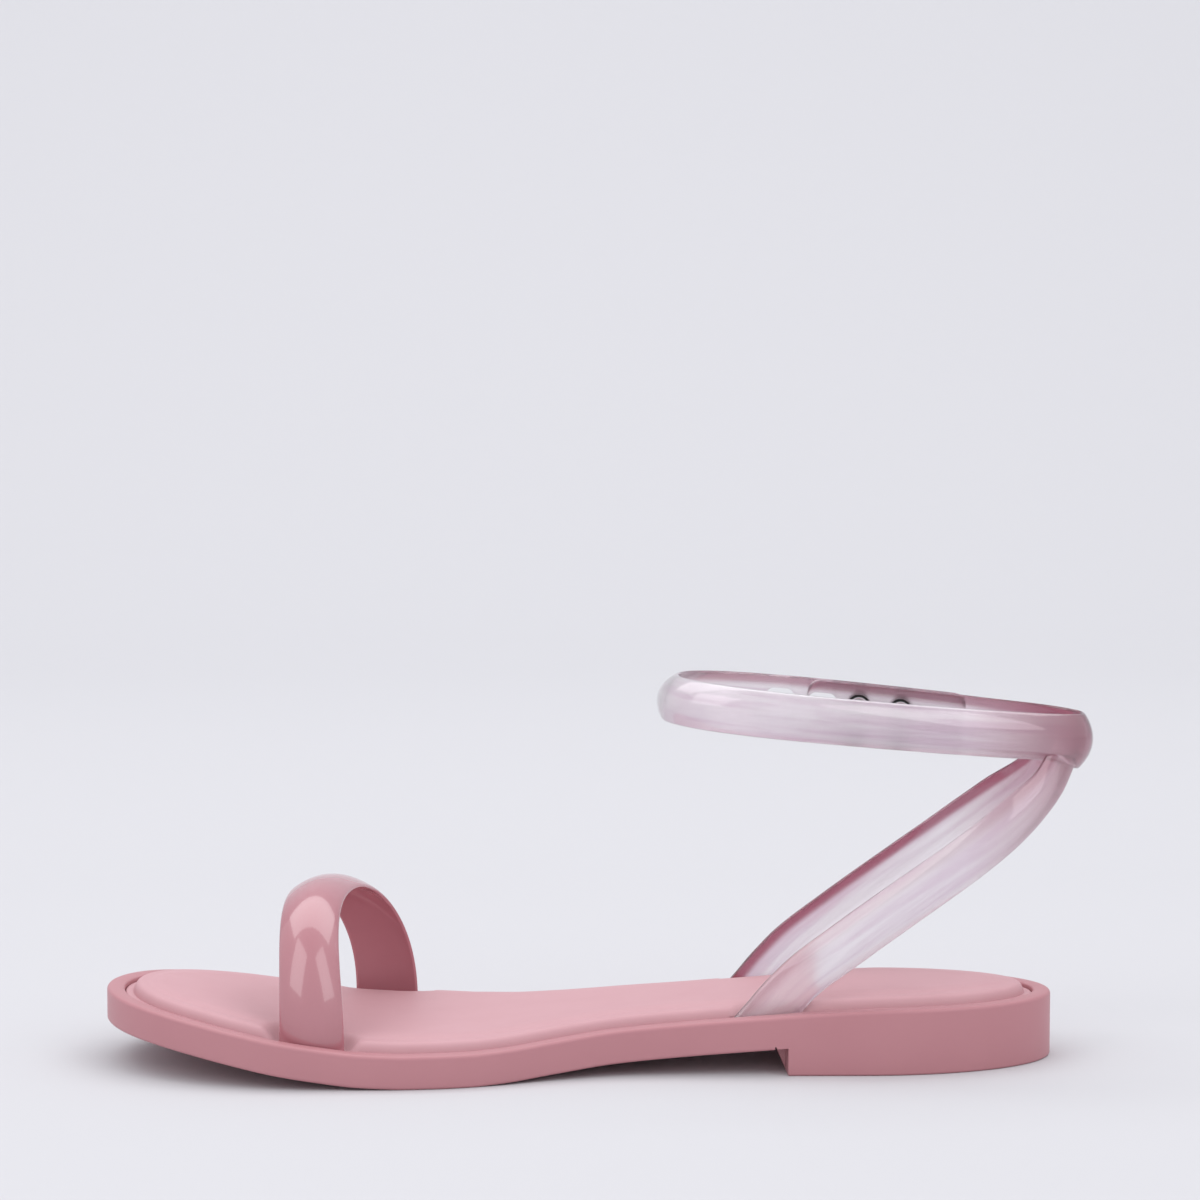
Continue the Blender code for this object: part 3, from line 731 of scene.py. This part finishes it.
def strapFeet():
    # where each leg goes into the sole: place, way out, half its width, and its thickness both ways
    toeAt = {-1: -toeStrap["legAt"], 1: -toeStrap["legAt"] + toeStrap["skew"]}
    places = [(toeAt[side], side, toeStrap, toeStrap["dome"], toeStrap["footWidth"])
              for side in (-1, 1)]
    places += [(-ankleStrap["legAt"], side, ankleStrap, ankleStrap["footDome"], ankleStrap["legWidth"])
               for side in (-1, 1)]
    return [(*legFoot(x, side, dome), width / 2, look["edge"], dome) for x, side, look, dome, width in places]


feet = strapFeet()


def padDip(x, y):
    # the padding sinks round each leg that goes through it, most of all close by
    dip = pinch = 0.0
    for foot, out, half, thickIn, thickOut in feet:
        away = Vector((x - foot.x, y - foot.y, 0))
        along, outward = abs(away.dot(Vector((-out.y, out.x, 0)))), away.dot(out)
        past = math.hypot(max(along - half, 0.0), max(-thickIn - outward, outward - thickOut, 0.0))
        dip = max(dip, math.exp(-(past / insole["dipSpread"]) ** insole["dipPower"]))
        pinch = max(pinch, math.exp(-(past / insole["pinchSpread"]) ** insole["pinchPower"]))
    return -insole["dipDepth"] * dip, -insole["pinchDepth"] * pinch


def buildInsole():
    edge, lip, steps = sole["rimWidth"] + gap, insole["lipRound"], insole["crownSteps"]
    inner = edge + insole["lipWidth"]
    levels = [(edge, lambda x, s: rimHeight(x) - sole["trayDepth"] + gap)]
    for up, out in quarterRound(insole["lipSteps"]):
        lift = -insole["lipSink"] - lip * (1 - up)
        levels.append((edge + lip * (1 - out), lambda x, s, lift=lift: rimHeight(x) + lift))
    crownStart = len(levels)
    for run in [(k / steps) ** insole["crowding"] for k in range(steps + 1)]:
        lift = eased(insole["crown"], 1, run) * insole["crownHeight"] - insole["lipSink"]
        levels.append((inner + run * insole["crownRun"], lambda x, s, lift=lift: rimHeight(x) + lift))
    rings = [soleRing(inset, height) for inset, height in levels]
    for ring in rings[crownStart:]:
        for p in ring:
            dip, pinch = padDip(p.x, p.y)
            p.z = max(p.z + dip, rimHeight(p.x) - insole["deepest"]) + pinch
    vertices, faces = skin(rings)
    count = len(rings[0])
    faces += acrossStrips(0, count)
    # the flat middle of the pad, as columns between the two sides of the last ring
    last = count * (len(rings) - 1)
    half, columns = count // 2, insole["columns"]
    grid = []
    for i in range(1, half):
        a, b = vertices[last + i], vertices[last + count - i]
        row = [last + i]
        for c in range(1, columns):
            p = a.lerp(b, c / columns)
            p.z = rimHeight(p.x) + insole["crownHeight"] - insole["lipSink"] + sum(padDip(p.x, p.y))
            vertices.append(p)
            row.append(len(vertices) - 1)
        row.append(last + count - i)
        grid.append(row)
    for rowA, rowB in zip(grid, grid[1:]):
        for c in range(columns):
            faces.append((rowA[c], rowA[c + 1], rowB[c + 1], rowB[c]))
    for c in range(columns):
        faces.append((last, grid[0][c + 1], grid[0][c]))
        faces.append((last + half, grid[-1][c], grid[-1][c + 1]))
    return meshPiece("padded_insole", vertices, faces, insole["sharp"])


pad = joined(buildInsole(), footRooms, insole["sharp"])
print("insole modelled")


def buildStud(name, length):
    # a turned snap: ring and socket inside the ankle, neck through both layers, domed head outside
    r, h = closure["headRadius"], closure["headHeight"]
    headDrop = ankleStrap["dome"] * (2 * r / ankleStrap["width"]) ** 2
    under = ankleStrap["dome"] + gap
    over = ankleStrap["dome"] - 2 * ankleStrap["wall"] - 2 * gap - headDrop
    top, bottom = under + h, over - h

    def turned(rows, level):
        return [(share * r, level + rise * h) for share, rise in closure[rows]]

    outline = turned("cap", top) + turned("brim", under)
    outline += [(closure["neckRadius"], under), (closure["neckRadius"], over)]
    outline += turned("seat", over) + turned("socket", bottom)
    body = bmesh.new()
    verts = [body.verts.new((radius, 0.0, z)) for radius, z in outline]
    edges = [body.edges.new(pair) for pair in zip(verts, verts[1:])]
    bmesh.ops.spin(body, geom=verts + edges, cent=(0, 0, 0), axis=(0, 0, 1), angle=2 * math.pi,
                   steps=closure["turnSteps"])
    bmesh.ops.remove_doubles(body, verts=body.verts, dist=closure["weld"])
    bmesh.ops.recalc_face_normals(body, faces=body.faces)
    stud = placed(name, meshOf(name, body))
    smoothed(stud.data, closure["sharp"])
    stud.matrix_world = loopPlace(length)
    return stud


studs = [buildStud(f"snap_stud_{n + 1}", length) for n, length in enumerate(studLengths)]
print("studs modelled")


# Colours are linear. patch and grain are the scales of the broad and of the fine noise
finishes = {
    "sole": {"colour": (0.50, 0.225, 0.25), "tone": (0.47, 0.205, 0.23), "roughness": (0.40, 0.48),
             "grain": 900, "bump": 0.05, "patch": 60},
    "insole": {"colour": (0.60, 0.340, 0.370), "tone": (0.57, 0.315, 0.345), "roughness": (0.50, 0.60),
               "grain": 1400, "bump": 0.08, "patch": 90},
    "toe": {"colour": (0.45, 0.175, 0.205), "tone": (0.43, 0.16, 0.19), "roughness": (0.22, 0.30),
            "grain": 500, "bump": 0.01, "patch": 50, "coat": 1.0},
    # the ankle's deep colour is painted shade along the strap's marked edges and towards the back of the heel
    "ankle": {"colour": (0.985, 0.955, 0.975), "tone": (0.97, 0.93, 0.955), "roughness": (0.12, 0.24),
              "grain": 700, "bump": 0.03, "patch": 45, "coat": 0.8, "clear": 0.82, "haze": (0.86, 0.62, 0.72),
              "hazeDensity": 32.0, "paintedShadeColour": (0.46, 0.15, 0.22), "paintedShadeFrom": 0.010, "paintedShadeTo": 0.050,
              "streakColour": (0.86, 0.74, 0.82), "streakAcross": 2.6, "streakAlong": 22.0,
              "streakRange": (0.44, 0.62)},
    "steel": {"colour": (0.62, 0.60, 0.61), "tone": (0.50, 0.49, 0.50), "roughness": (0.16, 0.26),
              "grain": 2000, "bump": 0.02, "patch": 400, "metal": 1.0},
    "snap": {"colour": (0.85, 0.84, 0.85), "tone": (0.75, 0.74, 0.75), "roughness": (0.18, 0.28),
             "grain": 2000, "bump": 0.02, "patch": 400, "metal": 1.0,
             "rings": ((0.0, 0.75), (0.30, 0.02), (0.52, 0.80), (0.80, 0.03))},
}


# What the finishes share
surface = {
    "patchDetail": 4,
    "grainDetail": 3,
    "streakDetail": 3,
    "bumpHeight": 0.0002,
    "coatRoughness": 0.06,
    "coatIndex": 1.65,
}


def mixed(nodes, links, colourA, factor, blend="MIX"):
    mix = nodes.new("ShaderNodeMix")
    mix.data_type = "RGBA"
    mix.blend_type = blend
    links.new(colourA, mix.inputs["A"])
    if factor:
        links.new(factor, mix.inputs["Factor"])
    return mix


def streaked(nodes, links, place, colour, look):
    # faint milky streaks that run along the strap
    mark = nodes.new("ShaderNodeAttribute")
    mark.attribute_name = "across"
    split = nodes.new("ShaderNodeSeparateXYZ")
    links.new(place.outputs["Object"], split.inputs["Vector"])
    spot = nodes.new("ShaderNodeCombineXYZ")
    for axis, value, size in (("X", mark.outputs["Fac"], look["streakAcross"]),
                              ("Y", split.outputs["X"], look["streakAlong"]),
                              ("Z", split.outputs["Y"], look["streakAlong"])):
        grown = nodes.new("ShaderNodeMath")
        grown.operation = "MULTIPLY"
        links.new(value, grown.inputs[0])
        grown.inputs[1].default_value = size
        links.new(grown.outputs["Value"], spot.inputs[axis])
    noise = nodes.new("ShaderNodeTexNoise")
    noise.inputs["Scale"].default_value = 1.0
    noise.inputs["Detail"].default_value = surface["streakDetail"]
    links.new(spot.outputs["Vector"], noise.inputs["Vector"])
    share = nodes.new("ShaderNodeMapRange")
    share.inputs["From Min"].default_value, share.inputs["From Max"].default_value = look["streakRange"]
    links.new(noise.outputs["Fac"], share.inputs["Value"])
    mix = mixed(nodes, links, colour, share.outputs["Result"])
    mix.inputs["B"].default_value = (*look["streakColour"], 1)
    return mix.outputs["Result"]


def withPaintedShade(nodes, links, place, colour, look):
    # painted shade: a deeper tint along the marked edge of the strap and towards the back of the heel
    mark = nodes.new("ShaderNodeAttribute")
    mark.attribute_name = "paintedShade"
    split = nodes.new("ShaderNodeSeparateXYZ")
    links.new(place.outputs["Object"], split.inputs["Vector"])
    back = nodes.new("ShaderNodeMapRange")
    back.inputs["From Min"].default_value = look["paintedShadeFrom"]
    back.inputs["From Max"].default_value = look["paintedShadeTo"]
    links.new(split.outputs["X"], back.inputs["Value"])
    total = nodes.new("ShaderNodeMath")
    total.operation, total.use_clamp = "ADD", True
    links.new(mark.outputs["Fac"], total.inputs[0])
    links.new(back.outputs["Result"], total.inputs[1])
    mix = mixed(nodes, links, colour, total.outputs["Value"])
    mix.inputs["B"].default_value = (*look["paintedShadeColour"], 1)
    return mix.outputs["Result"]


def ringed(nodes, links, place, colour, look):
    # bright and dark rings of a snap, by distance from its middle
    flat = nodes.new("ShaderNodeVectorMath")
    flat.operation = "MULTIPLY"
    flat.inputs[1].default_value = (1 / closure["headRadius"], 1 / closure["headRadius"], 0)
    links.new(place.outputs["Object"], flat.inputs[0])
    away = nodes.new("ShaderNodeVectorMath")
    away.operation = "LENGTH"
    links.new(flat.outputs["Vector"], away.inputs[0])
    ramp = nodes.new("ShaderNodeValToRGB")
    ramp.color_ramp.interpolation = "CONSTANT"
    stops = ramp.color_ramp.elements
    while len(stops) < len(look["rings"]):
        stops.new(0.5)
    for stop, (at, grey) in zip(stops, look["rings"]):
        stop.position = at
        stop.color = (grey, grey, grey, 1)
    links.new(away.outputs["Value"], ramp.inputs["Fac"])
    mix = mixed(nodes, links, colour, None, "MULTIPLY")
    mix.inputs["Factor"].default_value = 1.0
    links.new(ramp.outputs["Color"], mix.inputs["B"])
    return mix.outputs["Result"]


def buildFinish(name, look):
    material = bpy.data.materials.new(name)
    material.use_nodes = True
    nodes, links = material.node_tree.nodes, material.node_tree.links
    shader = nodes["Principled BSDF"]
    place = nodes.new("ShaderNodeTexCoord")
    patch = nodes.new("ShaderNodeTexNoise")
    patch.inputs["Scale"].default_value = look["patch"]
    patch.inputs["Detail"].default_value = surface["patchDetail"]
    grain = nodes.new("ShaderNodeTexNoise")
    grain.inputs["Scale"].default_value = look["grain"]
    grain.inputs["Detail"].default_value = surface["grainDetail"]
    for noise in (patch, grain):
        links.new(place.outputs["Object"], noise.inputs["Vector"])
    tone = nodes.new("ShaderNodeMix")
    tone.data_type = "RGBA"
    tone.inputs["A"].default_value = (*look["colour"], 1)
    tone.inputs["B"].default_value = (*look["tone"], 1)
    links.new(patch.outputs["Fac"], tone.inputs["Factor"])
    colour = tone.outputs["Result"]
    # the clear strap's streaks, then its painted shade
    if "paintedShadeColour" in look:
        colour = streaked(nodes, links, place, colour, look)
        colour = withPaintedShade(nodes, links, place, colour, look)
    if "rings" in look:
        colour = ringed(nodes, links, place, colour, look)
    links.new(colour, shader.inputs["Base Color"])
    rough = nodes.new("ShaderNodeMapRange")
    rough.inputs["To Min"].default_value, rough.inputs["To Max"].default_value = look["roughness"]
    links.new(patch.outputs["Fac"], rough.inputs["Value"])
    links.new(rough.outputs["Result"], shader.inputs["Roughness"])
    bump = nodes.new("ShaderNodeBump")
    bump.inputs["Strength"].default_value = look["bump"]
    bump.inputs["Distance"].default_value = surface["bumpHeight"]
    links.new(grain.outputs["Fac"], bump.inputs["Height"])
    links.new(bump.outputs["Normal"], shader.inputs["Normal"])
    shader.inputs["Metallic"].default_value = look.get("metal", 0.0)
    shader.inputs["Coat Weight"].default_value = look.get("coat", 0.0)
    shader.inputs["Coat Roughness"].default_value = surface["coatRoughness"]
    shader.inputs["Coat IOR"].default_value = surface["coatIndex"]
    shader.inputs["Transmission Weight"].default_value = look.get("clear", 0.0)
    if "haze" in look:
        haze = nodes.new("ShaderNodeVolumeAbsorption")
        haze.inputs["Color"].default_value = (*look["haze"], 1)
        haze.inputs["Density"].default_value = look["hazeDensity"]
        links.new(haze.outputs["Volume"], nodes["Material Output"].inputs["Volume"])
    return material


dressing = [
    (outsole, "sole", "outsole", "sole_plastic"),
    (pad, "insole", "insole", "insole_foam"),
    (toeBand, "toe", "toe_strap", "strap_gloss"),
    (ankleBand, "ankle", "ankle_strap", "strap_clear"),
    (studs[0], "steel", "closure_stud_1", "steel"),
    (studs[1], "steel", "closure_stud_2", "steel"),
]
made = {name: buildFinish(name, look) for name, look in finishes.items()}
for piece, finish, node, slotName in dressing:
    piece.data.materials.clear()
    piece.data.materials.append(made[finish])
    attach(piece, "root")
    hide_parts(node)
for stud in studs:
    # the side towards the ankle is the bright snap
    stud.data.materials.append(made["snap"])
    for face in stud.data.polygons:
        face.material_index = 1 if face.center.z < 0 else 0
print("finishes set")


# Pale seamless floor, studio light and camera
studio = {
    "floorColour": (0.62, 0.62, 0.641),
    "floorRoughness": 0.9,
    "floorShine": 0.1,
    "floorHalf": 2.5,
    "floorRows": (-0.5, 0.0, 0.5),
    "wallAt": 1.6,
    "wallHeight": 2.6,
    "bend": 0.8,
    "bendSteps": 16,
    "world": (0.92, 0.92, 0.96),
    "worldStrength": 0.90,
    # place, aim, size, power in watts
    "lights": {
        "overhead": ((-0.10, 0.33, 1.15), (-0.10, 0.02, 0.04), (2.00, 0.78), 7.5),
        "left box": ((-0.86, -0.62, 0.92), (-0.14, 0.0, 0.04), (0.75, 0.95), 3.0),
        "right box": ((0.60, -0.70, 0.92), (-0.14, 0.0, 0.04), (0.60, 0.95), 2.3),
        "wall wash": ((-0.10, 0.55, 1.50), (-0.10, 1.60, 1.30), (2.40, 0.60), 9.5),
    },
}


def buildFloor():
    bend, steps = studio["bend"], studio["bendSteps"]
    start = studio["wallAt"] - bend
    profile = [(y, 0.0) for y in (-studio["floorHalf"], *studio["floorRows"], start)]
    for k in range(1, steps + 1):
        angle = math.pi / 2 * k / steps
        profile.append((start + bend * math.sin(angle), bend * (1 - math.cos(angle))))
    profile.append((studio["wallAt"], studio["wallHeight"]))
    vertices, faces = [], []
    for y, z in profile:
        vertices += [(-studio["floorHalf"], y, z), (studio["floorHalf"], y, z)]
    for k in range(len(profile) - 1):
        faces.append((2 * k, 2 * k + 1, 2 * k + 3, 2 * k + 2))
    mesh = bpy.data.meshes.new("floor")
    mesh.from_pydata(vertices, [], faces)
    mesh.shade_smooth()
    floor = placed("floor", mesh)
    paint = bpy.data.materials.new("backdrop")
    paint.use_nodes = True
    shader = paint.node_tree.nodes["Principled BSDF"]
    shader.inputs["Base Color"].default_value = (*studio["floorColour"], 1)
    shader.inputs["Roughness"].default_value = studio["floorRoughness"]
    shader.inputs["Specular IOR Level"].default_value = studio["floorShine"]
    mesh.materials.append(paint)
    return floor


def buildLights():
    for name, (place, aim, size, power) in studio["lights"].items():
        lamp = bpy.data.lights.new(name, "AREA")
        lamp.shape = "RECTANGLE"
        lamp.size, lamp.size_y = size
        lamp.energy = power
        light = placed(name, lamp)
        light.location = place
        light.rotation_euler = (Vector(aim) - Vector(place)).to_track_quat("-Z", "Y").to_euler()
    world = bpy.data.worlds.new("studio air")
    world.use_nodes = True
    air = world.node_tree.nodes["Background"]
    air.inputs["Color"].default_value = (*studio["world"], 1)
    air.inputs["Strength"].default_value = studio["worldStrength"]
    bpy.context.scene.world = world


# Eye-level view of the inner side, as in the photograph
view = {
    "place": (-0.12218, -1.11951, 0.24472),
    "down": 6.3193,
    "turn": -2.0,
    "lens": 129.72,
    "sensor": 36.0,
}


def buildCamera():
    lens = bpy.data.cameras.new("camera")
    lens.lens = view["lens"]
    lens.sensor_width = view["sensor"]
    camera = placed("camera", lens)
    camera.location = view["place"]
    camera.rotation_euler = (math.radians(90 - view["down"]), 0, math.radians(view["turn"]))
    bpy.context.scene.camera = camera


buildFloor()
buildLights()
buildCamera()
bpy.context.scene.view_settings.view_transform = "Standard"
print("studio set")
